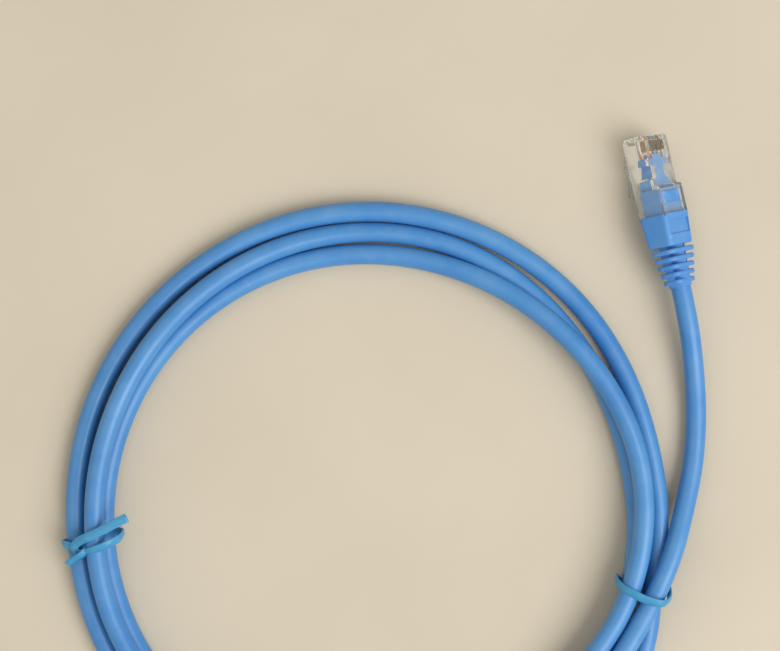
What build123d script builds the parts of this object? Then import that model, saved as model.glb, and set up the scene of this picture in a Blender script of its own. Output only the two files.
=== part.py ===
"""Coiled network patch lead: two 8-way clear plugs with moulded boots, three turns of cable, two wire ties.

Millimetres, +Z up. The lead lies on the plane z = 0, and the origin is on that plane, under the
middle of the whole lead. Turns are counted clockwise, as seen from above, from +X.
"""
from build123d import *
import math
import os

os.makedirs("parts", exist_ok=True)

# ---------------------------------------------------------------- driving dimensions
# Cable and coil
CABLE_D = 5.3
LAYERS = 2
COIL_CENTRE = (-3.7, 4.3)
COIL_EDGE_ROUND = 2.4
COIL_OUTSIDE_R = 79.8
COIL_OUTSIDE_SHIFT = (0.2, -1.0)
COIL_INSIDE_R = 65.9
COIL_INSIDE_SHIFT = (1.2, -2.6)

# Clear housing of a plug. In a plug's own frame x runs back from the nose, y across, and z out
# of the contact face; the latch is on the -z side. Behind the rear start the housing is higher on
# the contact side, to take the moulded core.
HOUSING_LENGTH = 21.46
HOUSING_WIDTH = 11.68
HOUSING_HEIGHT = 6.6
HOUSING_ROUND = 0.35
REAR_START = 13.4
REAR_STEP = 1.35
REAR_ROUND = 0.7
NOSE_CHAMFER = 0.7
NOSE_ROUND = 1.2
WINDOW_START = 15.2
WINDOW_LENGTH = 3.0
WINDOW_WIDTH = 8.4
TROUGH_GAP = 0.5
TROUGH_LENGTH = 1.6
TROUGH_DEPTH = 0.45
FIT = 0.05

# Contacts and conductors
WAYS = 8
PITCH = 1.02
BLADE_THICK = 0.35
BLADE_START = 1.4
BLADE_LENGTH = 2.9
BLADE_SINK = 0.5
BLADE_ROUND = 0.45
TINE_WIDTH = 0.45
TINE_TIP = 0.15
WIRE_GAP = 0.1
WIRE_START = 1.0
WIRE_HEIGHT = 0.55
WIRE_COLOURS = [
    "white_orange", "orange", "white_green", "blue",
    "white_blue", "green", "white_brown", "brown",
]

# Moulded core inside the housing, and the walls that the housing keeps round it
CORE_START = 5.0
TONGUE_WAYS = 4
TONGUE_GAP = 0.04
TONGUE_LENGTH = 1.1
CROSSBAR_WIDTH = 8.7
CROSSBAR_LENGTH = 1.7
WAIST_WIDTH = 4.3
WAIST_LENGTH = 2.1
WAIST_SLOPE = 0.3
HIP_WIDTH = 8.0
HIP_CURVE = 1.5
SIDE_WALL = 0.9
STEP_WALL = 0.9
CONTACT_WALL = 1.0
FRONT_COVER = 1.6
LATCH_WALL = 1.6
LATCH_WALL_FRONT = 3.1
LATCH_WALL_SLOPE = 8.0
WINDOW_PAD = 0.5

# Moulded boot: a block round the end of the housing, then a ribbed strain relief
CABLE_RISE = 0.9
BOOT_OVERLAP = 0.46
BOOT_LIP = 0.25
BLOCK_LENGTH = 8.4
BLOCK_ROUND = 1.3
BLOCK_TAPER = 0.45
RECESS_WIDTH = 9.2
RECESS_LENGTH = 3.7
RECESS_START = 1.8
RECESS_DEPTH = 0.35
RELIEF_LENGTH = 10.9
RIB_COUNT = 5
RIB_PITCH = 2.0
RIB_THICK = 1.25
RIB_FIRST = 1.4
RIB_WIDTH = (12.2, 8.6)
RIB_HEIGHT = (7.6, 5.8)
RIB_CORNER = (2.2, 1.7)
RIB_EDGE_ROUND = 0.45
SPINE_HEIGHT = 2.1
SPINE_INSET = (0.6, 0.3)
SPINE_CUT = 1.0
SLEEVE_WALL = 0.3
JACKET_GRIP = 16.5

# Latch
LATCH_WIDTH = 6.2
LATCH_THICK = 1.1
LATCH_ANGLE = 12.8
LATCH_PIVOT_X = 2.3
LATCH_DROP = 0.9
LATCH_GAP = 0.15
ROOT_DEPTH = 1.6
LEVER_WIDTH = 3.25
LEVER_TIP_ROUND = 0.7
SHOULDER_REACH = 6.0
LEVER_REACH = 13.2
CATCH_LENGTH = 1.6
CATCH_DEPTH = 0.7
CATCH_RAMP = (0.6, 1.4)

# Where the plugs lie: the nose's middle, then the direction back to the cable, then the roll of
# the contact face away from straight up, towards +X. Plug a leans on the shoulder of its latch,
# which lifts it a little off its boot.
PLUG_A_NOSE = (72.5, 95.06)
PLUG_A_HEADING = -77.2
PLUG_A_ROLL = 50.0
PLUG_A_LIFT = 0.3
PLUG_B_NOSE = (65.5, -104.7)
PLUG_B_HEADING = 86.0
PLUG_B_ROLL = 180.0

# Free stretches of cable, as points from the coil's centre. At its boot each one starts with a
# straight run along the plug's axis.
TAIL_A_STRAIGHT = 9.0
TAIL_A_POINTS = [
    (86.3, 34.9, 4.6),
    (87.1, 22.6, 2.8),
    (86.3, 9.3, 3.1),
    (83.7, -3.2, 5.0),
    (79.9, -14.6, 7.4),
    (76.9, -21.4, 7.9),
]
TAIL_B_STRAIGHT = 8.5
TAIL_B_POINTS = [
    (74.2, -26.0, 3.2),
    (71.8, -35.6, 2.8),
    (70.0, -45.8, 3.0),
]
ROUTE_SHARE = 0.45

# Ties: a plastic strap on a steel wire. A tie's point is a clockwise angle, a distance out from
# the coil's inside or outside edge there, and a height over its underside or its top.
STRAP_D = 1.7
TIE_WIRE_D = 0.5
TIE_LEAN = 1.6
NOTCH_CLEAR = 0.15
INSIDE, OUTSIDE = 0, 1
UNDER, OVER = 0, 1
RIGHT_TIE_ANGLE = 16.2
LEFT_TIE_ANGLE = 172.4
RIGHT_TIE_POINTS = [
    (12.0, INSIDE, -2.2, UNDER, 1.3),
    (15.0, INSIDE, -2.4, UNDER, 0.95),
    (16.2, INSIDE, 0.7, UNDER, 0.9),
    (16.2, OUTSIDE, 1.7, UNDER, 0.95),
    (16.8, OUTSIDE, 4.3, UNDER, 3.4),
    (18.6, OUTSIDE, 4.3, OVER, -1.2),
    (19.6, OUTSIDE, 1.7, OVER, 1.5),
    (19.8, INSIDE, 8.1, OVER, 1.3),
    (18.8, INSIDE, 1.6, OVER, 1.3),
    (18.2, INSIDE, -1.3, OVER, -1.2),
    (18.4, INSIDE, -1.5, UNDER, 4.2),
    (20.2, INSIDE, -1.9, UNDER, 1.6),
]
LEFT_TIE_POINTS = [
    (176.4, INSIDE, -2.2, OVER, 2.2),
    (173.9, INSIDE, 4.5, OVER, 1.8),
    (171.9, OUTSIDE, -3.7, OVER, 1.6),
    (171.4, OUTSIDE, 1.3, OVER, 0.8),
    (171.6, OUTSIDE, 2.2, OVER, -2.8),
    (172.2, OUTSIDE, 2.4, UNDER, 2.6),
    (172.4, OUTSIDE, 0.8, UNDER, 0.95),
    (172.4, INSIDE, -0.5, UNDER, 0.95),
    (172.5, INSIDE, -2.0, UNDER, 2.6),
    (172.6, INSIDE, -1.9, OVER, -1.0),
    (171.6, INSIDE, 1.0, OVER, 1.3),
    (169.8, OUTSIDE, -6.4, OVER, 1.2),
    (167.8, OUTSIDE, -0.2, OVER, 1.3),
]

# ---------------------------------------------------------------- derived sizes
COIL_HEIGHT = LAYERS * CABLE_D
HALF_WIDTH = HOUSING_WIDTH / 2
HALF_HEIGHT = HOUSING_HEIGHT / 2
REAR_TOP = HALF_HEIGHT + REAR_STEP
WIRE_D = PITCH - WIRE_GAP
TONGUE_WIDTH = TONGUE_WAYS * PITCH - 2 * TONGUE_GAP
CROSSBAR_START = CORE_START + TONGUE_LENGTH
LATCH_PIVOT_Z = -HALF_HEIGHT - LATCH_DROP
WINDOW_END = WINDOW_START + WINDOW_LENGTH
BLOCK_START = HOUSING_LENGTH - BOOT_OVERLAP
BLOCK_END = BLOCK_START + BLOCK_LENGTH
BLOCK_HALF_WIDTH = HALF_WIDTH + BOOT_LIP
BLOCK_TOP = REAR_TOP + BOOT_LIP
BLOCK_BOTTOM = -HALF_HEIGHT - BOOT_LIP
BOOT_END = BLOCK_END + RELIEF_LENGTH
SLEEVE_R = CABLE_D / 2 + SLEEVE_WALL


def box_between(low, high):
    """A box from its lowest to its highest corner."""
    size = [b - a for a, b in zip(low, high)]
    middle = [(a + b) / 2 for a, b in zip(low, high)]
    return Pos(*middle) * Box(*size)


def slab(side_view, half_width):
    """A side view, drawn in x and z, made as thick as a width across the plug."""
    return extrude(Plane.XZ * side_view, half_width, both=True)


def along_cable(x):
    """A plane across the cable, at a distance back from the nose."""
    return Plane(origin=(x, 0, CABLE_RISE), x_dir=(0, 1, 0), z_dir=(1, 0, 0))


def wire_y(number):
    """Place across the plug of contact or conductor number 0 to WAYS - 1."""
    return (number - (WAYS - 1) / 2) * PITCH


# ---------------------------------------------------------------- plug pieces, in the plug's frame
def blade_profile():
    """Side view of one contact: a rounded blade with two tines that bite into the conductor."""
    low = WIRE_HEIGHT + WIRE_D / 2 + FIT
    top = HALF_HEIGHT - BLADE_SINK
    middle_x = BLADE_START + BLADE_LENGTH / 2
    blade = RectangleRounded(BLADE_LENGTH, top - low, BLADE_ROUND)
    profile = Pos(middle_x, (low + top) / 2) * blade
    for side in (-1, 1):
        tine_x = middle_x + side * BLADE_LENGTH / 4
        height = low + BLADE_ROUND - TINE_TIP
        profile += Pos(tine_x, TINE_TIP + height / 2) * Rectangle(TINE_WIDTH, height)
    return profile


def contact(number):
    """One contact blade."""
    return Pos(0, wire_y(number), 0) * slab(blade_profile(), BLADE_THICK / 2)


def conductor_end(number):
    """Where a conductor goes into the moulded core: at its tongue or at its crossbar."""
    inside_tongue = abs(wire_y(number)) < TONGUE_WIDTH / 2
    return CORE_START if inside_tongue else CROSSBAR_START


def conductor(number):
    """One insulated conductor, slit where the contact's tines go through it."""
    end = conductor_end(number)
    length = end - WIRE_START
    wire = Pos(WIRE_START + length / 2, wire_y(number), WIRE_HEIGHT) * Cylinder(
        WIRE_D / 2, length, rotation=(0, 90, 0)
    )
    return wire - contact(number)


def core_plan():
    """Plan of the moulded core: tongue, crossbar, waist, hips and full width."""
    tongue = TONGUE_WIDTH / 2
    bar = CROSSBAR_WIDTH / 2
    waist = WAIST_WIDTH / 2
    hip = HIP_WIDTH / 2
    full = HALF_WIDTH - SIDE_WALL
    bar_end = CROSSBAR_START + CROSSBAR_LENGTH
    waist_start = bar_end + WAIST_SLOPE
    waist_end = waist_start + WAIST_LENGTH
    hip_start = waist_end + HIP_CURVE
    full_start = REAR_START + STEP_WALL
    lean = math.sin(math.radians(45))
    curve_middle = (waist_end + HIP_CURVE * lean, hip - (hip - waist) * lean)
    far_side = [
        (CORE_START, tongue), (CROSSBAR_START, tongue), (CROSSBAR_START, bar), (bar_end, bar),
        (waist_start, waist), (waist_end, waist), (hip_start, hip), (full_start, hip),
        (full_start, full), (BLOCK_END, full),
    ]
    near_side = [(x, -y) for x, y in far_side]
    edges = [Line(far_side[0], near_side[0]), Line(far_side[-1], near_side[-1])]
    for side, sign in ((far_side, 1), (near_side, -1)):
        for start, end in zip(side, side[1:]):
            if start[0] == waist_end:
                edges.append(ThreePointArc(start, (curve_middle[0], sign * curve_middle[1]), end))
            else:
                edges.append(Line(start, end))
    return make_face(edges)


def core_side_view():
    """Side view of the moulded core; it gets deeper away from the nose."""
    rear_x = REAR_START + STEP_WALL
    front_top = HALF_HEIGHT - FRONT_COVER
    front_bottom = LATCH_WALL_FRONT - HALF_HEIGHT
    bottom = LATCH_WALL - HALF_HEIGHT
    return make_face(Polyline(
        (CORE_START, front_bottom), (CORE_START, front_top), (rear_x, front_top),
        (rear_x, REAR_TOP - CONTACT_WALL), (BLOCK_END, REAR_TOP - CONTACT_WALL),
        (BLOCK_END, bottom), (CORE_START + LATCH_WALL_SLOPE, bottom), close=True,
    ))


def core(clear=0.0):
    """The moulded core in the housing, or the room that it takes there."""
    plan = core_plan()
    side_view = core_side_view()
    if clear:
        plan = offset(plan, clear, kind=Kind.INTERSECTION)
        side_view = offset(side_view, clear, kind=Kind.INTERSECTION)
    standing = extrude(plan, REAR_TOP, both=True)
    return standing & slab(side_view, HALF_WIDTH)


def housing_blank():
    """Outside of the clear housing."""
    outline = make_face(Polyline(
        (NOSE_CHAMFER, -HALF_HEIGHT), (0, NOSE_CHAMFER - HALF_HEIGHT), (0, HALF_HEIGHT),
        (REAR_START, HALF_HEIGHT), (REAR_START, REAR_TOP), (HOUSING_LENGTH, REAR_TOP),
        (HOUSING_LENGTH, -HALF_HEIGHT), close=True,
    ))
    nose = outline.vertices().sort_by(Axis.X)[:2].sort_by(Axis.Y)[-1]
    outline = fillet(nose, NOSE_ROUND)
    step = outline.vertices().group_by(Axis.Y)[-1].sort_by(Axis.X)[0]
    outline = fillet(step, REAR_ROUND)
    body = slab(outline, HALF_WIDTH)
    sides = body.faces().sort_by(Axis.Y)
    rims = sides[0].edges() + sides[-1].edges()
    rims = [edge for edge in rims if edge.center().X < HOUSING_LENGTH - FIT]
    return fillet(rims, HOUSING_ROUND)


def latch_root():
    """The ledge under the nose that carries the latch's thin hinge."""
    half = LATCH_WIDTH / 2
    end = LATCH_PIVOT_X - LATCH_THICK / 2 - LATCH_GAP
    ledge = box_between(
        (NOSE_CHAMFER, -half, -HALF_HEIGHT - ROOT_DEPTH), (end, half, -HALF_HEIGHT + NOSE_CHAMFER)
    )
    front = ledge.edges().filter_by(Axis.Y).group_by(Axis.Z)[0].group_by(Axis.X)[0]
    return chamfer(front, (end - NOSE_CHAMFER) / 2)


def housing():
    """Clear housing: slots for the blades, a channel for the conductors, the core's room, a window."""
    shell = housing_blank() + latch_root()
    shell -= core(FIT)
    channel_half = wire_y(WAYS - 1) + WIRE_D / 2 + FIT
    channel_low = WIRE_HEIGHT - WIRE_D / 2 - FIT
    channel_high = WIRE_HEIGHT + WIRE_D / 2 + FIT
    shell -= box_between(
        (WIRE_START - FIT, -channel_half, channel_low), (CROSSBAR_START, channel_half, channel_high)
    )
    for number in range(WAYS):
        y = wire_y(number)
        half = BLADE_THICK / 2 + FIT
        shell -= box_between(
            (BLADE_START - FIT, y - half, WIRE_HEIGHT),
            (BLADE_START + BLADE_LENGTH + FIT, y + half, REAR_TOP),
        )
    window_half = WINDOW_WIDTH / 2
    window_low = REAR_TOP - 2 * CONTACT_WALL
    shell -= box_between(
        (WINDOW_START, -window_half, window_low), (WINDOW_END, window_half, REAR_TOP + FIT)
    )
    trough = WINDOW_END + TROUGH_GAP
    shell -= box_between(
        (trough, -window_half, REAR_TOP - TROUGH_DEPTH),
        (trough + TROUGH_LENGTH, window_half, REAR_TOP + FIT),
    )
    return shell


def between(pair, number):
    """A rib's size, from the first rib's to the last one's."""
    return pair[0] + number / (RIB_COUNT - 1) * (pair[1] - pair[0])


def rib(number):
    """One rounded rib of the strain relief; the ribs get smaller towards the cable."""
    x = BLOCK_END + RIB_FIRST + number * RIB_PITCH
    outline = RectangleRounded(
        between(RIB_WIDTH, number), between(RIB_HEIGHT, number), between(RIB_CORNER, number)
    )
    plate = extrude(along_cable(x) * outline, RIB_THICK / 2, both=True)
    return fillet(plate.edges(), RIB_EDGE_ROUND)


def spines():
    """The two straight side bars that tie the ribs together, cut off at an angle at the end."""
    first = RIB_WIDTH[0] / 2 - SPINE_INSET[0]
    last = RIB_WIDTH[1] / 2 - SPINE_INSET[1]
    end_x = BOOT_END - SLEEVE_WALL
    outline = make_face(Polyline(
        (BLOCK_START, -first), (end_x - SPINE_CUT, -last), (end_x, -SLEEVE_R),
        (end_x, SLEEVE_R), (end_x - SPINE_CUT, last), (BLOCK_START, first), close=True,
    ))
    bars = Pos(0, 0, CABLE_RISE) * extrude(outline, SPINE_HEIGHT / 2, both=True)
    room = box_between(
        (BLOCK_END - RIB_EDGE_ROUND, -RIB_WIDTH[0], -RIB_WIDTH[0]), (BOOT_END, RIB_WIDTH[0], RIB_WIDTH[0])
    )
    return bars & room


def block():
    """The block round the end of the housing; it tapers towards the cable and has a recess."""
    middle = (BLOCK_TOP + BLOCK_BOTTOM) / 2
    sections = []
    for x, inset in ((BLOCK_START, 0), (BLOCK_END, BLOCK_TAPER)):
        width = 2 * (BLOCK_HALF_WIDTH - inset)
        height = BLOCK_TOP - BLOCK_BOTTOM - 2 * inset
        plane = Plane(origin=(x, 0, middle), x_dir=(0, 1, 0), z_dir=(1, 0, 0))
        sections.append(plane * RectangleRounded(width, height, BLOCK_ROUND))
    body = loft(sections)
    body = fillet(body.faces().sort_by(Axis.X)[-1].edges(), RIB_EDGE_ROUND)
    recess = box_between(
        (RECESS_START, -RECESS_WIDTH / 2, -RECESS_DEPTH),
        (RECESS_START + RECESS_LENGTH, RECESS_WIDTH / 2, RECESS_DEPTH),
    )
    slope = math.degrees(math.atan(BLOCK_TAPER / BLOCK_LENGTH))
    return body - Pos(BLOCK_START, 0, BLOCK_TOP) * Rot(0, slope, 0) * recess


def boot():
    """Blue moulding: core in the housing, block round its end, ribbed strain relief on the cable."""
    pad_half = WINDOW_WIDTH / 2 - FIT
    pad_top = REAR_TOP - CONTACT_WALL + WINDOW_PAD
    pad = box_between((WINDOW_START + FIT, -pad_half, 0), (WINDOW_END - FIT, pad_half, pad_top))
    sleeve_start = along_cable(BLOCK_END - RIB_EDGE_ROUND)
    sleeve = extrude(sleeve_start * Circle(SLEEVE_R), RELIEF_LENGTH + RIB_EDGE_ROUND)
    sleeve = chamfer(sleeve.edges().group_by(Axis.X)[-1], SLEEVE_WALL / 2)
    moulding = (block() - housing_blank()) + core() + pad + sleeve + spines()
    for number in range(RIB_COUNT):
        moulding += rib(number)
    return moulding - jacket_end(1)


def jacket_end(extra=0.0):
    """The end of the cable's jacket, gripped by the boot."""
    return extrude(along_cable(BOOT_END - JACKET_GRIP) * Circle(CABLE_D / 2), JACKET_GRIP + extra)


def latch():
    """Latch tongue: wide to its shoulders, then a narrow lever, leaning away from the housing."""
    half = LATCH_WIDTH / 2
    lever = LEVER_WIDTH / 2
    plan = Polyline(
        (0, -half), (SHOULDER_REACH, -half), (SHOULDER_REACH, -lever), (LEVER_REACH, -lever),
        (LEVER_REACH, lever), (SHOULDER_REACH, lever), (SHOULDER_REACH, half), (0, half), close=True,
    )
    tongue = extrude(make_face(plan), LATCH_THICK / 2, both=True)
    tip = tongue.edges().filter_by(Axis.Z).group_by(Axis.X)[-1]
    tongue = fillet(tip, LEVER_TIP_ROUND)
    tongue += Cylinder(LATCH_THICK / 2, LATCH_WIDTH, rotation=(90, 0, 0))
    catch = box_between(
        (SHOULDER_REACH - CATCH_LENGTH, -half, -LATCH_THICK / 2 - CATCH_DEPTH),
        (SHOULDER_REACH, half, -LATCH_THICK / 2),
    )
    front = catch.edges().filter_by(Axis.Y).group_by(Axis.Z)[0].group_by(Axis.X)[0]
    tongue += chamfer(front, *CATCH_RAMP)
    return Pos(LATCH_PIVOT_X, 0, LATCH_PIVOT_Z) * Rot(0, LATCH_ANGLE, 0) * tongue


# ---------------------------------------------------------------- places in the part's frame
def from_coil(x, y, z):
    """A point given from the coil's centre, in the part's frame."""
    return (COIL_CENTRE[0] + x, COIL_CENTRE[1] + y, z)


def plug_seat(nose, heading, roll, lift=0.0):
    """The frame of a plug at a nose point, a heading back to the cable and a roll, with its boot's
    block on the surface that the lead lies on, or lifted off it."""
    turn = math.radians(heading)
    lean = math.radians(roll)
    back = Vector(math.cos(turn), math.sin(turn), 0)
    side = Vector(-math.sin(turn), math.cos(turn), 0)
    up = Vector(0, 0, 1) * math.cos(lean) + side * math.sin(lean)
    level = Plane(origin=from_coil(*nose, 0), x_dir=back, z_dir=up)
    corners = [
        level.from_local_coords(Vector(0, y, z)).Z
        for y in (BLOCK_ROUND - BLOCK_HALF_WIDTH, BLOCK_HALF_WIDTH - BLOCK_ROUND)
        for z in (BLOCK_BOTTOM + BLOCK_ROUND, BLOCK_TOP - BLOCK_ROUND)
    ]
    height = BLOCK_ROUND - min(corners) + lift
    return Plane(origin=from_coil(*nose, height), x_dir=back, z_dir=up)


def on_axis(seat, reach):
    """A point on a plug's cable axis, at a reach behind the mouth of its boot."""
    return tuple(seat.from_local_coords(Vector(BOOT_END + reach, 0, CABLE_RISE)))


def route_path(points):
    """Straight runs joined by tangent arcs, each as large as its two runs allow."""
    corners = [Vector(*point) for point in points]
    radii = []
    for before, here, after in zip(corners, corners[1:], corners[2:]):
        turn = (here - before).get_angle(after - here)
        run = min((here - before).length, (after - here).length)
        radii.append(ROUTE_SHARE * run / math.tan(math.radians(turn) / 2))
    return FilletPolyline(*corners, radius=radii), radii


def round_sweep(path, diameter):
    """A round section along a path."""
    section = Plane(origin=path @ 0, z_dir=path % 0) * Circle(diameter / 2)
    return sweep(section, path=path)


def cable_tube(name, points):
    """A free stretch of cable; prints its bend radii and compares its volume with its length."""
    path, radii = route_path(points)
    tube = round_sweep(path, CABLE_D)
    expected = math.pi * (CABLE_D / 2) ** 2 * path.length
    print(name, "radii", [round(radius, 1) for radius in radii])
    print(name, "length", round(path.length, 1), "volume ratio", round(tube.volume / expected, 4))
    return tube


# ---------------------------------------------------------------- coil and ties
def coil_point(clockwise, reach, z=0.0):
    """A point at a clockwise angle from +X and a reach from the coil's centre."""
    angle = math.radians(-clockwise)
    return from_coil(reach * math.cos(angle), reach * math.sin(angle), z)


def edge_reach(clockwise, radius, shift):
    """How far from the coil's centre a shifted circle is met at a clockwise angle."""
    angle = math.radians(-clockwise)
    along = shift[0] * math.cos(angle) + shift[1] * math.sin(angle)
    across = shift[1] * math.cos(angle) - shift[0] * math.sin(angle)
    return along + math.sqrt(radius ** 2 - across ** 2)


def tie_notch(clockwise):
    """The room that a tie takes under the coil."""
    width = STRAP_D + 2 * NOTCH_CLEAR + TIE_LEAN
    reach = COIL_OUTSIDE_R + COIL_INSIDE_R
    slot = Pos(reach / 2, 0, 0) * Box(reach, width, 2 * (STRAP_D + NOTCH_CLEAR))
    return Pos(*from_coil(0, 0, 0)) * Rot(0, 0, -clockwise) * slot


def coil():
    """The outer shape of the three turns, closed, with room for the ties underneath."""
    outside = Pos(*from_coil(*COIL_OUTSIDE_SHIFT, 0)) * Circle(COIL_OUTSIDE_R)
    inside = Pos(*from_coil(*COIL_INSIDE_SHIFT, 0)) * Circle(COIL_INSIDE_R)
    body = extrude(outside - inside, COIL_HEIGHT)
    rims = body.faces().sort_by(Axis.Z)
    body = fillet(rims[0].edges() + rims[-1].edges(), COIL_EDGE_ROUND)
    for clockwise in (RIGHT_TIE_ANGLE, LEFT_TIE_ANGLE):
        body -= tie_notch(clockwise)
    return body


def tie_point(clockwise, edge, out, level, rise):
    """A point of a tie, from the coil's edge and level nearest to it."""
    if edge == OUTSIDE:
        reach = edge_reach(clockwise, COIL_OUTSIDE_R, COIL_OUTSIDE_SHIFT)
    else:
        reach = edge_reach(clockwise, COIL_INSIDE_R, COIL_INSIDE_SHIFT)
    return coil_point(clockwise, reach + out, level * COIL_HEIGHT + rise)


def tie(points):
    """A tie's plastic strap and the steel wire in it."""
    path, _ = route_path([tie_point(*point) for point in points])
    wire = round_sweep(path, TIE_WIRE_D)
    strap = round_sweep(path, STRAP_D) - wire
    return strap, wire


# ---------------------------------------------------------------- the whole lead
def build():
    """Every node's solid by name, in the part's frame."""
    nodes = {}
    seats = {
        "a": plug_seat(PLUG_A_NOSE, PLUG_A_HEADING, PLUG_A_ROLL, PLUG_A_LIFT),
        "b": plug_seat(PLUG_B_NOSE, PLUG_B_HEADING, PLUG_B_ROLL),
    }
    pieces = {"housing": housing(), "latch": latch(), "boot": boot(), "jacket_end": jacket_end()}
    for number, colour in enumerate(WIRE_COLOURS):
        pieces[f"contact_{number + 1}"] = contact(number)
        pieces[f"conductor_{number + 1}_{colour}"] = conductor(number)
    for end, seat in seats.items():
        for name, piece in pieces.items():
            nodes[f"plug_{end}_{name}"] = seat.location * piece
    tail_a = [on_axis(seats["a"], 0), on_axis(seats["a"], TAIL_A_STRAIGHT)]
    tail_a += [from_coil(*point) for point in TAIL_A_POINTS]
    tail_b = [on_axis(seats["b"], 0), on_axis(seats["b"], TAIL_B_STRAIGHT)]
    tail_b += [from_coil(*point) for point in reversed(TAIL_B_POINTS)]
    nodes["cable_tail_a"] = cable_tube("tail a", tail_a)
    nodes["cable_tail_b"] = cable_tube("tail b", tail_b)
    nodes["cable_coil"] = coil()
    nodes["tie_right_strap"], nodes["tie_right_wire"] = tie(RIGHT_TIE_POINTS)
    nodes["tie_left_strap"], nodes["tie_left_wire"] = tie(LEFT_TIE_POINTS)
    return nodes


for node_name, solid in build().items():
    solid.label = node_name
    export_step(solid, f"parts/{node_name}.step")
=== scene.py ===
"""A network patch lead wound in three loose turns and held by two coated-wire ties.

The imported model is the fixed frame: plugs, boots, contacts and conductors are its own nodes with
better finishes, and the cable and the ties are made here. Metres, +Z up, floor at z = 0.
"""
import math

import bmesh
import bpy
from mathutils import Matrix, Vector


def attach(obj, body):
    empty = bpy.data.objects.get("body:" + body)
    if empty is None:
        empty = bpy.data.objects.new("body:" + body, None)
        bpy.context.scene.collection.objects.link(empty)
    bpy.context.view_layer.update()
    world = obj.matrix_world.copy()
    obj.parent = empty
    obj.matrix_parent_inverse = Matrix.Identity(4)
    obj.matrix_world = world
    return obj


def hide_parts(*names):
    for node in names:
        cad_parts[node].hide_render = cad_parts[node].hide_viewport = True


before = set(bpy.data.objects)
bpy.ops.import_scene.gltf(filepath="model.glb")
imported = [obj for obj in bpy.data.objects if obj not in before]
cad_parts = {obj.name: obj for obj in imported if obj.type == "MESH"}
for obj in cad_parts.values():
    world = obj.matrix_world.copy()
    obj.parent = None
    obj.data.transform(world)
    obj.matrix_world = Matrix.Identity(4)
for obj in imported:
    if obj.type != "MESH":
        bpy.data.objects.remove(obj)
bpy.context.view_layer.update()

MM = 0.001

# ---------------------------------------------------------------- sizes of the lead
CABLE_D = 5.3 * MM
CABLE_R = CABLE_D / 2
COIL_CENTRE = Vector((-3.7, 4.3, 0)) * MM

# Cable from the mouth of boot a down to the right tie, in millimetres from the coil's centre
TAIL_A = [
    (82.10, 55.91, 7.29),
    (84.09, 47.14, 7.29),
    (86.0, 34.9, 4.6),
    (87.0, 22.6, 2.8),
    (86.2, 9.3, 3.1),
    (83.2, -3.2, 5.0),
    (79.9, -14.4, 8.0),
]
# Cable from the right tie down to the mouth of boot b
TAIL_B = [
    (74.2, -35.6, 2.9),
    (71.2, -45.8, 2.9),
    (68.90, -56.02, 4.0),
    (68.31, -64.50, 4.0),
]
# The three turns, clockwise from just below the right tie: reach from the coil's centre and
# height of the cable's middle, at every 30 degrees
FIRST_CLOCK = 20
STATION_STEP = 30
TURN_REACH = [
    [78.2, 76.3, 74.9, 73.0, 72.0, 69.4, 67.2, 65.6, 64.6, 64.9, 67.5, 71.9],
    [72.6, 70.0, 68.3, 69.4, 73.6, 71.2, 69.5, 69.3, 70.1, 70.5, 69.1, 69.6],
    [73.4, 75.3, 77.3, 79.0, 79.5, 76.6, 75.8, 75.2, 75.6, 75.9, 76.0, 75.6],
]
TURN_HEIGHT = [
    [9.3, 7.9, 7.7, 4.1, 2.65, 3.75, 2.65, 2.65, 2.65, 4.0, 8.1, 7.8],
    [9.2, 6.8, 3.3, 8.9, 7.9, 8.8, 7.4, 6.4, 3.5, 2.65, 2.65, 2.65],
    [3.85, 2.65, 2.65, 2.65, 2.65, 3.85, 2.65, 2.65, 3.7, 3.5, 2.65, 2.9],
]
LAST_STATION = (79.0, 3.85)
TURN_POINTS = 24

# Ties: flat plastic strap with the wire as a ridge along its middle
STRAP_WIDTH = 2.4
STRAP_THICK = 0.75
STRAP_RIDGE = 1.15
TIE_WIRE_D = 0.5
# Right tie: clockwise angle, reach and height of the strap's middle
TIE_RIGHT = [
    (11.6, 71.0, 0.9), (13.6, 71.5, 0.7), (15.4, 72.0, 0.65), (16.1, 73.8, 0.6),
    (16.2, 78.9, 0.6), (16.2, 81.5, 0.95), (16.4, 82.8, 2.8), (17.0, 83.0, 5.6),
    (17.8, 82.8, 8.7), (18.6, 81.6, 11.3), (18.9, 79.8, 12.4), (19.0, 77.6, 12.5),
    (19.0, 75.7, 12.4), (18.7, 73.0, 12.3), (18.5, 70.6, 11.2), (17.9, 69.0, 8.4),
    (17.4, 68.9, 5.4), (17.4, 69.2, 2.6), (18.2, 70.7, 0.8), (20.0, 72.3, 0.6),
]
# Left tie: place from the coil's centre and height
TIE_LEFT = [
    (-61.5, -3.7, 13.2), (-64.9, -5.4, 12.9), (-68.3, -7.2, 12.5), (-71.4, -8.7, 11.8),
    (-73.5, -9.7, 10.6), (-75.0, -10.7, 9.6), (-75.7, -11.9, 9.2), (-75.1, -13.1, 8.4),
    (-73.5, -13.2, 8.9), (-71.1, -12.5, 10.9), (-68.5, -11.5, 12.1), (-65.9, -10.4, 11.9),
    (-64.1, -9.5, 9.5), (-63.8, -9.0, 6.0), (-64.2, -8.8, 2.2), (-65.6, -8.9, 0.65),
    (-71.1, -10.0, 0.6), (-77.2, -11.3, 0.65), (-78.9, -11.5, 2.3), (-79.1, -11.5, 4.8),
    (-78.4, -11.4, 6.8), (-76.9, -11.7, 7.6), (-74.9, -12.0, 7.6), (-73.2, -12.0, 8.2),
    (-72.6, -12.5, 9.6), (-73.4, -13.5, 10.2), (-74.9, -14.5, 9.4), (-76.4, -15.5, 8.6),
    (-77.5, -16.3, 7.9),
]

WIRE_SHOW = 0.25
STRAP_STEPS = 6

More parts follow.
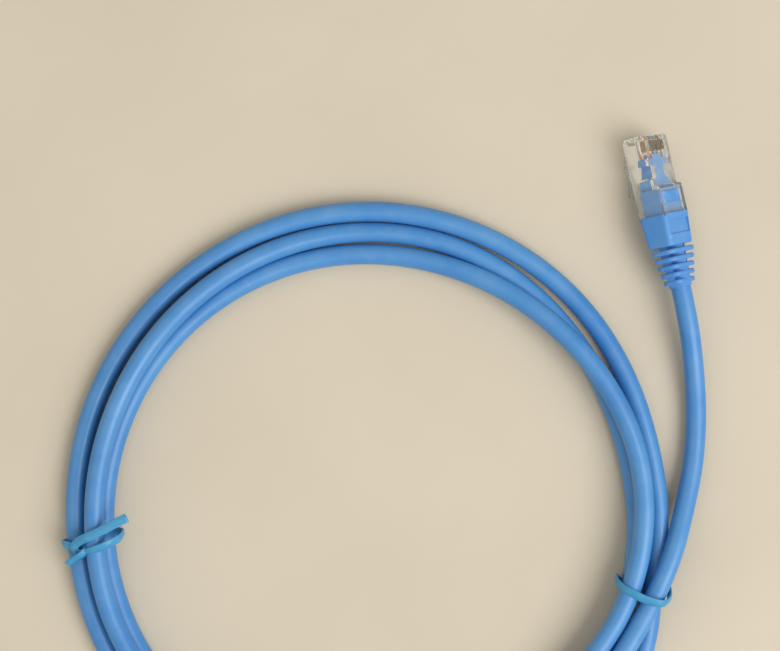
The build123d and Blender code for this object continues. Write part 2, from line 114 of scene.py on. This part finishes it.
# Camera, in millimetres: what it looks straight down at, and how wide it sees there
CAMERA_AIM = (6.3, 45.8)
AIM_HEIGHT = 4.0
SEEN_WIDTH = 204.75
LENS = 85.0
SENSOR = 36.0

# ---------------------------------------------------------------- colours (linear)
JACKET_BLUE = (0.044, 0.222, 0.560, 1)
JACKET_PALE = (0.074, 0.285, 0.615, 1)
BOOT_BLUE = (0.055, 0.245, 0.640, 1)
BOOT_PALE = (0.085, 0.300, 0.680, 1)
TIE_BLUE = (0.035, 0.270, 0.520, 1)
TIE_PALE = (0.070, 0.340, 0.590, 1)
DUST = (0.62, 0.58, 0.50, 1)
CLEAR = (0.95, 0.95, 0.93, 1)
CLEAR_SCUFFED = (0.99, 0.99, 0.98, 1)
GOLD = (0.60, 0.38, 0.15, 1)
GOLD_WORN = (0.42, 0.28, 0.13, 1)
STEEL = (0.52, 0.52, 0.53, 1)
STEEL_DARK = (0.30, 0.30, 0.31, 1)
CARD = (0.650, 0.575, 0.455, 1)
CARD_DARK = (0.560, 0.485, 0.370, 1)
WHITE_PE = (0.80, 0.79, 0.74, 1)
CONDUCTORS = {
    "white_orange": (WHITE_PE, (0.80, 0.24, 0.03, 1)),
    "orange": ((0.80, 0.24, 0.03, 1), (0.70, 0.19, 0.02, 1)),
    "white_green": (WHITE_PE, (0.05, 0.36, 0.10, 1)),
    "blue": ((0.03, 0.12, 0.48, 1), (0.02, 0.09, 0.40, 1)),
    "white_blue": (WHITE_PE, (0.03, 0.12, 0.48, 1)),
    "green": ((0.05, 0.36, 0.10, 1), (0.04, 0.30, 0.08, 1)),
    "white_brown": (WHITE_PE, (0.25, 0.10, 0.04, 1)),
    "brown": ((0.25, 0.10, 0.04, 1), (0.20, 0.08, 0.03, 1)),
}


# ---------------------------------------------------------------- shader building
class Graph:
    """A node tree with short calls for adding and joining nodes."""

    def __init__(self, tree):
        self.tree = tree

    def add(self, kind, settings=None, **values):
        """A node of a kind, with its settings, and its input sockets set or joined by name."""
        node = self.tree.nodes.new(kind)
        for name, value in (settings or {}).items():
            setattr(node, name, value)
        for name, value in values.items():
            self.feed(node, name.replace("_", " "), value)
        return node

    def feed(self, node, name, value):
        """Sets an input socket, or joins it when the value is another node's output."""
        socket = node.inputs[name]
        if isinstance(value, bpy.types.NodeSocket):
            self.tree.links.new(value, socket)
        else:
            socket.default_value = value

    def mix(self, share, first, second):
        """Colour between two colours."""
        node = self.tree.nodes.new("ShaderNodeMix")
        node.data_type = "RGBA"
        for index, value in ((0, share), (6, first), (7, second)):
            if isinstance(value, bpy.types.NodeSocket):
                self.tree.links.new(value, node.inputs[index])
            else:
                node.inputs[index].default_value = value
        return node.outputs[2]

    def compute(self, operation, first, second):
        """One step of arithmetic."""
        node = self.tree.nodes.new("ShaderNodeMath")
        node.operation = operation
        for index, value in enumerate((first, second)):
            if isinstance(value, bpy.types.NodeSocket):
                self.tree.links.new(value, node.inputs[index])
            else:
                node.inputs[index].default_value = value
        return node.outputs[0]

    def spread(self, value, low, high, to_low=0.0, to_high=1.0):
        """A value moved from one range to another and held inside it."""
        node = self.add("ShaderNodeMapRange")
        for index, number in enumerate((value, low, high, to_low, to_high)):
            if isinstance(number, bpy.types.NodeSocket):
                self.tree.links.new(number, node.inputs[index])
            else:
                node.inputs[index].default_value = number
        return node.outputs[0]


def shader_group(name, inputs, outputs):
    """An empty group with named sockets; returns its graph, its input node and its output node."""
    tree = bpy.data.node_groups.new(name, "ShaderNodeTree")
    for label, kind, default in inputs:
        socket = tree.interface.new_socket(label, in_out="INPUT", socket_type=kind)
        socket.default_value = default
    for label, kind in outputs:
        tree.interface.new_socket(label, in_out="OUTPUT", socket_type=kind)
    graph = Graph(tree)
    return graph, tree.nodes.new("NodeGroupInput"), tree.nodes.new("NodeGroupOutput")


def moulded_skin_group():
    """Fine unevenness of moulded or extruded plastic: a height, and a mask of duller patches."""
    graph, source, result = shader_group(
        "moulded skin",
        [("Grain", "NodeSocketFloat", 900.0), ("Patch", "NodeSocketFloat", 60.0)],
        [("Height", "NodeSocketFloat"), ("Dull", "NodeSocketFloat")],
    )
    place = graph.add("ShaderNodeTexCoord").outputs["Object"]
    grain = graph.add("ShaderNodeTexNoise", Vector=place, Scale=source.outputs["Grain"], Detail=3.0)
    patch = graph.add("ShaderNodeTexNoise", Vector=place, Scale=source.outputs["Patch"], Detail=4.0)
    wave = graph.compute("MULTIPLY", patch.outputs[0], 0.8)
    graph.feed(result, "Height", graph.compute("ADD", grain.outputs[0], wave))
    graph.feed(result, "Dull", graph.spread(patch.outputs[0], 0.35, 0.70))
    return graph.tree


def colour_drift_group():
    """A colour that wanders slowly between two near tones."""
    graph, source, result = shader_group(
        "colour drift",
        [
            ("Tone", "NodeSocketColor", (0.5, 0.5, 0.5, 1)),
            ("Pale Tone", "NodeSocketColor", (0.6, 0.6, 0.6, 1)),
            ("Scale", "NodeSocketFloat", 40.0),
        ],
        [("Color", "NodeSocketColor")],
    )
    place = graph.add("ShaderNodeTexCoord").outputs["Object"]
    cloud = graph.add("ShaderNodeTexNoise", Vector=place, Scale=source.outputs["Scale"], Detail=5.0)
    share = graph.spread(cloud.outputs[0], 0.32, 0.68)
    graph.feed(result, "Color", graph.mix(share, source.outputs["Tone"], source.outputs["Pale Tone"]))
    return graph.tree


def rubbed_edge_group():
    """Mask of the edges that handling has rubbed paler, broken up by noise."""
    graph, source, result = shader_group(
        "rubbed edges",
        [("Amount", "NodeSocketFloat", 1.0), ("Scale", "NodeSocketFloat", 300.0)],
        [("Mask", "NodeSocketFloat")],
    )
    place = graph.add("ShaderNodeTexCoord").outputs["Object"]
    sharp = graph.add("ShaderNodeNewGeometry").outputs["Pointiness"]
    broken = graph.add("ShaderNodeTexNoise", Vector=place, Scale=source.outputs["Scale"], Detail=4.0)
    edge = graph.spread(sharp, 0.51, 0.60)
    rough = graph.spread(broken.outputs[0], 0.38, 0.62)
    rubbed = graph.compute("MULTIPLY", edge, rough)
    graph.feed(result, "Mask", graph.compute("MULTIPLY", rubbed, source.outputs["Amount"]))
    return graph.tree


def settled_dust_group():
    """Mask of the specks and thin film that settle on faces that look up."""
    graph, source, result = shader_group(
        "settled dust",
        [("Film", "NodeSocketFloat", 0.05), ("Specks", "NodeSocketFloat", 0.3)],
        [("Mask", "NodeSocketFloat")],
    )
    place = graph.add("ShaderNodeTexCoord").outputs["Object"]
    normal = graph.add("ShaderNodeNewGeometry").outputs["Normal"]
    up = graph.add("ShaderNodeSeparateXYZ", Vector=normal).outputs["Z"]
    upward = graph.spread(up, 0.2, 1.0)
    cloud = graph.add("ShaderNodeTexNoise", Vector=place, Scale=180.0, Detail=5.0)
    speck = graph.add("ShaderNodeTexVoronoi", Vector=place, Scale=420.0)
    film = graph.compute("MULTIPLY", graph.spread(cloud.outputs[0], 0.40, 0.75), source.outputs["Film"])
    dot = graph.compute("MULTIPLY", graph.spread(speck.outputs[0], 0.10, 0.04), source.outputs["Specks"])
    both = graph.compute("ADD", film, dot)
    graph.feed(result, "Mask", graph.compute("MULTIPLY", both, upward))
    return graph.tree


MOULDED_SKIN = moulded_skin_group()
COLOUR_DRIFT = colour_drift_group()
RUBBED_EDGE = rubbed_edge_group()
SETTLED_DUST = settled_dust_group()


def place_group(graph, group, **values):
    """A group placed in a material with its own values."""
    node = graph.tree.nodes.new("ShaderNodeGroup")
    node.node_tree = group
    for name, value in values.items():
        graph.feed(node, name.replace("_", " "), value)
    return node


def new_material(name):
    """An empty material; returns it, its graph and its Principled shader."""
    material = bpy.data.materials.new(name)
    material.use_nodes = True
    graph = Graph(material.node_tree)
    return material, graph, material.node_tree.nodes["Principled BSDF"]


def soft_plastic(name, tone, pale, rough, grain, bump, dust=0.05, rubbed=0.5, drift=45.0):
    """Coloured PVC or polyethylene: drifting tone, fine skin, rubbed edges and a little dust."""
    material, graph, shader = new_material(name)
    skin = place_group(graph, MOULDED_SKIN, Grain=grain, Patch=70.0)
    tint = place_group(graph, COLOUR_DRIFT, Tone=tone, Pale_Tone=pale, Scale=drift)
    worn = place_group(graph, RUBBED_EDGE, Amount=rubbed, Scale=350.0)
    dusty = place_group(graph, SETTLED_DUST, Film=dust, Specks=dust * 3)
    lighter = tuple(min(1.0, 1.5 * part + 0.04) for part in pale[:3]) + (1,)
    colour = graph.mix(worn.outputs["Mask"], tint.outputs["Color"], lighter)
    colour = graph.mix(dusty.outputs["Mask"], colour, DUST)
    graph.feed(shader, "Base Color", colour)
    dull = graph.spread(skin.outputs["Dull"], 0.0, 1.0, rough - 0.05, rough + 0.09)
    rough_all = graph.compute("ADD", dull, graph.compute("MULTIPLY", dusty.outputs["Mask"], 0.5))
    graph.feed(shader, "Roughness", rough_all)
    raised = graph.add(
        "ShaderNodeBump", Strength=bump, Distance=0.00005, Height=skin.outputs["Height"]
    )
    graph.feed(shader, "Normal", raised.outputs[0])
    graph.feed(shader, "IOR", 1.52)
    return material, graph, shader


def jacket_material():
    """Extruded PVC jacket, satin, with a soft sheen."""
    material, graph, shader = soft_plastic(
        "blue pvc jacket", JACKET_BLUE, JACKET_PALE, 0.40, 700.0, 0.10, dust=0.05, rubbed=0.0
    )
    graph.feed(shader, "Coat Weight", 0.12)
    graph.feed(shader, "Coat Roughness", 0.28)
    return material


def boot_material():
    """Soft moulded PVC, slightly paler and duller than the jacket."""
    return soft_plastic(
        "blue moulded boot", BOOT_BLUE, BOOT_PALE, 0.46, 1400.0, 0.16, dust=0.06, rubbed=0.45
    )[0]


def tie_material():
    """Light blue plastic of the ties, a little glossy, paler where it is bent."""
    return soft_plastic(
        "tie plastic", TIE_BLUE, TIE_PALE, 0.38, 1200.0, 0.14, dust=0.03, rubbed=0.6, drift=160.0
    )[0]


def conductor_material(name, tone, band):
    """Insulated conductor: plain colour, or white with a coloured band wound round it."""
    material, graph, shader = new_material("insulation " + name.replace("_", " "))
    place = graph.add("ShaderNodeTexCoord").outputs["Object"]
    stripe = graph.add(
        "ShaderNodeTexWave", {"bands_direction": "DIAGONAL"}, Vector=place, Scale=130.0, Distortion=0.6
    )
    share = graph.spread(stripe.outputs["Fac"], 0.62, 0.70)
    graph.feed(shader, "Base Color", graph.mix(share, tone, band))
    skin = place_group(graph, MOULDED_SKIN, Grain=2500.0, Patch=500.0)
    graph.feed(shader, "Roughness", graph.spread(skin.outputs["Dull"], 0.0, 1.0, 0.30, 0.42))
    return material


def clear_material():
    """Clear moulded polycarbonate: faintly milky, with soft flow marks. What is behind it gets
    its light straight through, once."""
    material, graph, shader = new_material("clear polycarbonate")
    skin = place_group(graph, MOULDED_SKIN, Grain=500.0, Patch=220.0)
    worn = place_group(graph, RUBBED_EDGE, Amount=0.7, Scale=500.0)
    rough = graph.spread(skin.outputs["Dull"], 0.0, 1.0, 0.08, 0.16)
    scuffed = graph.compute("MULTIPLY", worn.outputs["Mask"], 0.25)
    graph.feed(shader, "Roughness", graph.compute("ADD", rough, scuffed))
    graph.feed(shader, "Base Color", graph.mix(worn.outputs["Mask"], CLEAR, CLEAR_SCUFFED))
    raised = graph.add("ShaderNodeBump", Strength=0.12, Distance=0.00004, Height=skin.outputs["Height"])
    graph.feed(shader, "Normal", raised.outputs[0])
    graph.feed(shader, "Transmission Weight", 0.95)
    graph.feed(shader, "IOR", 1.33)
    thin = graph.add("ShaderNodeBsdfTransparent", Color=(0.90, 0.91, 0.90, 1))
    path = graph.add("ShaderNodeLightPath")
    blend = graph.add("ShaderNodeMixShader")
    through = graph.compute("MAXIMUM", path.outputs["Is Shadow Ray"], path.outputs["Is Diffuse Ray"])
    graph.tree.links.new(through, blend.inputs[0])
    graph.tree.links.new(shader.outputs[0], blend.inputs[1])
    graph.tree.links.new(thin.outputs[0], blend.inputs[2])
    graph.tree.links.new(blend.outputs[0], graph.tree.nodes["Material Output"].inputs["Surface"])
    return material


def metal_material(name, bright, dark, rough, scale):
    """Drawn or plated metal with fine tarnish and draw marks."""
    material, graph, shader = new_material(name)
    tint = place_group(graph, COLOUR_DRIFT, Tone=bright, Pale_Tone=dark, Scale=scale)
    skin = place_group(graph, MOULDED_SKIN, Grain=3000.0, Patch=900.0)
    graph.feed(shader, "Base Color", tint.outputs["Color"])
    graph.feed(shader, "Metallic", 1.0)
    graph.feed(shader, "Roughness", graph.spread(skin.outputs["Dull"], 0.0, 1.0, rough - 0.06, rough + 0.10))
    raised = graph.add("ShaderNodeBump", Strength=0.15, Distance=0.00002, Height=skin.outputs["Height"])
    graph.feed(shader, "Normal", raised.outputs[0])
    return material


def floor_material():
    """Plain pale card with a faint fibre."""
    material, graph, shader = new_material("pale card")
    place = graph.add("ShaderNodeTexCoord").outputs["Object"]
    cloud = graph.add("ShaderNodeTexNoise", Vector=place, Scale=18.0, Detail=6.0)
    fibre = graph.add("ShaderNodeTexNoise", Vector=place, Scale=1400.0, Detail=4.0)
    share = graph.compute("MULTIPLY", graph.spread(cloud.outputs[0], 0.3, 0.8), 0.5)
    graph.feed(shader, "Base Color", graph.mix(share, CARD, CARD_DARK))
    graph.feed(shader, "Roughness", 0.85)
    raised = graph.add("ShaderNodeBump", Strength=0.20, Distance=0.0001, Height=fibre.outputs[0])
    graph.feed(shader, "Normal", raised.outputs[0])
    return material


# ---------------------------------------------------------------- camera and light
def from_centre(x, y, z):
    """A point given in millimetres from the coil's centre."""
    return COIL_CENTRE + Vector((x, y, z)) * MM


def polar(clock, reach, height):
    """A point at a clockwise angle from +X, a reach from the coil's centre and a height."""
    angle = math.radians(-clock)
    return from_centre(reach * math.cos(angle), reach * math.sin(angle), height)


def set_camera():
    """Straight down from above, framing the plug, the top of the coil and both ties."""
    data = bpy.data.cameras.new("camera")
    data.lens = LENS
    data.sensor_width = SENSOR
    camera = bpy.data.objects.new("camera", data)
    camera.location = from_centre(*CAMERA_AIM, AIM_HEIGHT + SEEN_WIDTH * LENS / SENSOR)
    bpy.context.scene.collection.objects.link(camera)
    bpy.context.scene.camera = camera


def area_light(name, place, target, size, power, colour):
    """A square soft light aimed at a point."""
    data = bpy.data.lights.new(name, "AREA")
    data.size = size
    data.energy = power
    data.color = colour
    lamp = bpy.data.objects.new(name, data)
    lamp.location = place
    lamp.rotation_euler = (target - place).to_track_quat("-Z", "Y").to_euler()
    bpy.context.scene.collection.objects.link(lamp)


def set_light():
    """A broad soft key from the lower right, a weak fill, and an even pale surround."""
    target = from_centre(0, 40, 0)
    area_light("key", Vector((0.70, -0.35, 1.00)), target, 0.95, 13.0, (0.96, 0.98, 1.0))
    area_light("fill", Vector((-0.6, 0.4, 1.0)), target, 1.2, 1.6, (1.0, 0.96, 0.90))
    world = bpy.data.worlds.new("surround")
    world.use_nodes = True
    background = world.node_tree.nodes["Background"]
    background.inputs["Color"].default_value = (1.0, 0.96, 0.88, 1)
    background.inputs["Strength"].default_value = 0.52
    bpy.context.scene.world = world
    bpy.context.scene.view_settings.view_transform = "Standard"


def make_floor():
    """The plain surface that the lead lies on."""
    bm = bmesh.new()
    bmesh.ops.create_grid(bm, x_segments=1, y_segments=1, size=1.5)
    floor = link_mesh("floor", bm, floor_material())


def link_mesh(name, bm, material):
    """A smooth-shaded mesh object made from a bmesh."""
    mesh = bpy.data.meshes.new(name)
    bm.normal_update()
    bm.to_mesh(mesh)
    bm.free()
    for face in mesh.polygons:
        face.use_smooth = True
    piece = bpy.data.objects.new(name, mesh)
    mesh.materials.append(material)
    bpy.context.scene.collection.objects.link(piece)
    return piece


# ---------------------------------------------------------------- cable
def smooth_between(values, place):
    """The value at a place along a list, smoothly between its entries."""
    index = min(int(place), len(values) - 2)
    share = place - index
    before = values[max(index - 1, 0)]
    here = values[index]
    after = values[index + 1]
    beyond = values[min(index + 2, len(values) - 1)]
    bend = (2 * before - 5 * here + 4 * after - beyond) * share ** 2
    twist = (3 * here - before - 3 * after + beyond) * share ** 3
    return here + 0.5 * ((after - before) * share + bend + twist)


def coil_points():
    """The turns' control points. The smooth line runs inside its points, so they stand out a little."""
    reaches = sum(TURN_REACH, []) + [LAST_STATION[0]]
    heights = sum(TURN_HEIGHT, []) + [LAST_STATION[1]]
    step = 360 / TURN_POINTS
    stand_out = 1 / math.cos(math.radians(step / 2))
    points = []
    for number in range(len(TURN_REACH) * TURN_POINTS + 1):
        place = number * step / STATION_STEP
        reach = smooth_between(reaches, place) * stand_out
        height = max(smooth_between(heights, place), CABLE_R / MM)
        points.append(polar(FIRST_CLOCK + number * step, reach, height))
    return points


def make_cable(material):
    """The whole cable from boot a to boot b, on one smooth line."""
    points = [from_centre(*point) for point in TAIL_A]
    points += coil_points()
    points += [from_centre(*point) for point in TAIL_B]
    curve = bpy.data.curves.new("cable", "CURVE")
    curve.dimensions = "3D"
    curve.resolution_u = 8
    curve.bevel_depth = CABLE_R
    curve.bevel_resolution = 7
    curve.use_fill_caps = True
    spline = curve.splines.new("NURBS")
    spline.points.add(len(points) - 1)
    for knot, point in zip(spline.points, points):
        knot.co = (*point, 1.0)
    spline.order_u = 3
    spline.use_endpoint_u = True
    curve.materials.append(material)
    cable = bpy.data.objects.new("cable", curve)
    bpy.context.scene.collection.objects.link(cable)
    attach(cable, "lead")
    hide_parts("cable_coil", "cable_tail_a", "cable_tail_b")


# ---------------------------------------------------------------- ties
def smooth_line(points, steps):
    """A smooth line through points, with a number of steps between each two."""
    line = []
    columns = [[point[axis] for point in points] for axis in range(3)]
    for number in range((len(points) - 1) * steps + 1):
        line.append(Vector([smooth_between(column, number / steps) for column in columns]))
    return line


def strap_outline(turns=20):
    """Section of the strap: flat and rounded, with the wire's ridge along its middle."""
    outline = []
    for number in range(turns):
        angle = 2 * math.pi * number / turns
        across = STRAP_WIDTH / 2 * math.copysign(abs(math.cos(angle)) ** 0.8, math.cos(angle))
        bulge = STRAP_THICK + (STRAP_RIDGE - STRAP_THICK) * math.exp(-((across / 0.42) ** 2))
        height = bulge / 2 * math.copysign(abs(math.sin(angle)) ** 0.6, math.sin(angle))
        outline.append((across * MM, height * MM))
    return outline


def round_outline(radius, turns=10):
    """Section of a round wire."""
    return [
        (radius * math.cos(2 * math.pi * number / turns), radius * math.sin(2 * math.pi * number / turns))
        for number in range(turns)
    ]


def sweep_mesh(name, line, outline, material):
    """A section carried along a line without twisting about it, closed at both ends, and
    flattened where it lies on the floor."""
    bm = bmesh.new()
    tangent = (line[1] - line[0]).normalized()
    across = tangent.cross(Vector((0, 0, 1))).normalized()
    rings = []
    for number, point in enumerate(line):
        ahead = line[min(number + 1, len(line) - 1)]
        behind = line[max(number - 1, 0)]
        turned = (ahead - behind).normalized()
        across = tangent.rotation_difference(turned) @ across
        tangent = turned
        across = (across - tangent * across.dot(tangent)).normalized()
        out = across.cross(tangent)
        ring = [point + across * x + out * y for x, y in outline]
        rings.append([bm.verts.new((spot.x, spot.y, max(spot.z, 0.0))) for spot in ring])
    for first, second in zip(rings, rings[1:]):
        for index in range(len(outline)):
            after = (index + 1) % len(outline)
            bm.faces.new((first[index], first[after], second[after], second[index]))
    bm.faces.new(list(reversed(rings[0])))
    bm.faces.new(rings[-1])
    bmesh.ops.recalc_face_normals(bm, faces=bm.faces)
    return link_mesh(name, bm, material)


def make_tie(side, points, strap_finish, wire_finish):
    """A tie's strap, with its steel wire just showing at both cut ends."""
    line = smooth_line(points, STRAP_STEPS)
    strap = sweep_mesh(f"tie_{side}_band", line, strap_outline(), strap_finish)
    first = line[0] + (line[0] - line[1]).normalized() * WIRE_SHOW * MM
    last = line[-1] + (line[-1] - line[-2]).normalized() * WIRE_SHOW * MM
    wire = sweep_mesh(
        f"tie_{side}_core", [first] + line + [last], round_outline(TIE_WIRE_D / 2 * MM), wire_finish
    )
    for piece, node, finish in ((strap, "strap", "tie_plastic"), (wire, "wire", "tie_steel")):
        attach(piece, "lead")
        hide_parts(f"tie_{side}_{node}")


# ---------------------------------------------------------------- plugs
def finish_node(name, material):
    """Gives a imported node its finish."""
    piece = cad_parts[name]
    piece.data.materials.clear()
    piece.data.materials.append(material)


def finish_plug(end, finishes):
    """Every piece of one plug."""
    prefix = f"plug_{end}_"
    finish_node(prefix + "housing", finishes["clear"])
    finish_node(prefix + "latch", finishes["clear"])
    finish_node(prefix + "boot", finishes["boot"])
    finish_node(prefix + "jacket_end", finishes["jacket"])
    for number, name in enumerate(CONDUCTORS, start=1):
        finish_node(f"{prefix}contact_{number}", finishes["gold"])
        finish_node(f"{prefix}conductor_{number}_{name}", finishes[name])


def make_finishes():
    """Every material by name."""
    finishes = {
        "jacket": jacket_material(),
        "boot": boot_material(),
        "clear": clear_material(),
        "gold": metal_material("gold flash", GOLD, GOLD_WORN, 0.26, 900.0),
        "steel": metal_material("tie wire", STEEL, STEEL_DARK, 0.38, 1500.0),
        "tie": tie_material(),
    }
    for name, (tone, band) in CONDUCTORS.items():
        finishes[name] = conductor_material(name, tone, band)
    return finishes


def build():
    """The camera and the cable first, then the ties, the plugs and the surroundings."""
    set_camera()
    finishes = make_finishes()
    make_cable(finishes["jacket"])
    make_tie("right", [polar(*point) for point in TIE_RIGHT], finishes["tie"], finishes["steel"])
    make_tie("left", [from_centre(*point) for point in TIE_LEFT], finishes["tie"], finishes["steel"])
    for end in ("a", "b"):
        finish_plug(end, finishes)
    make_floor()
    set_light()


build()
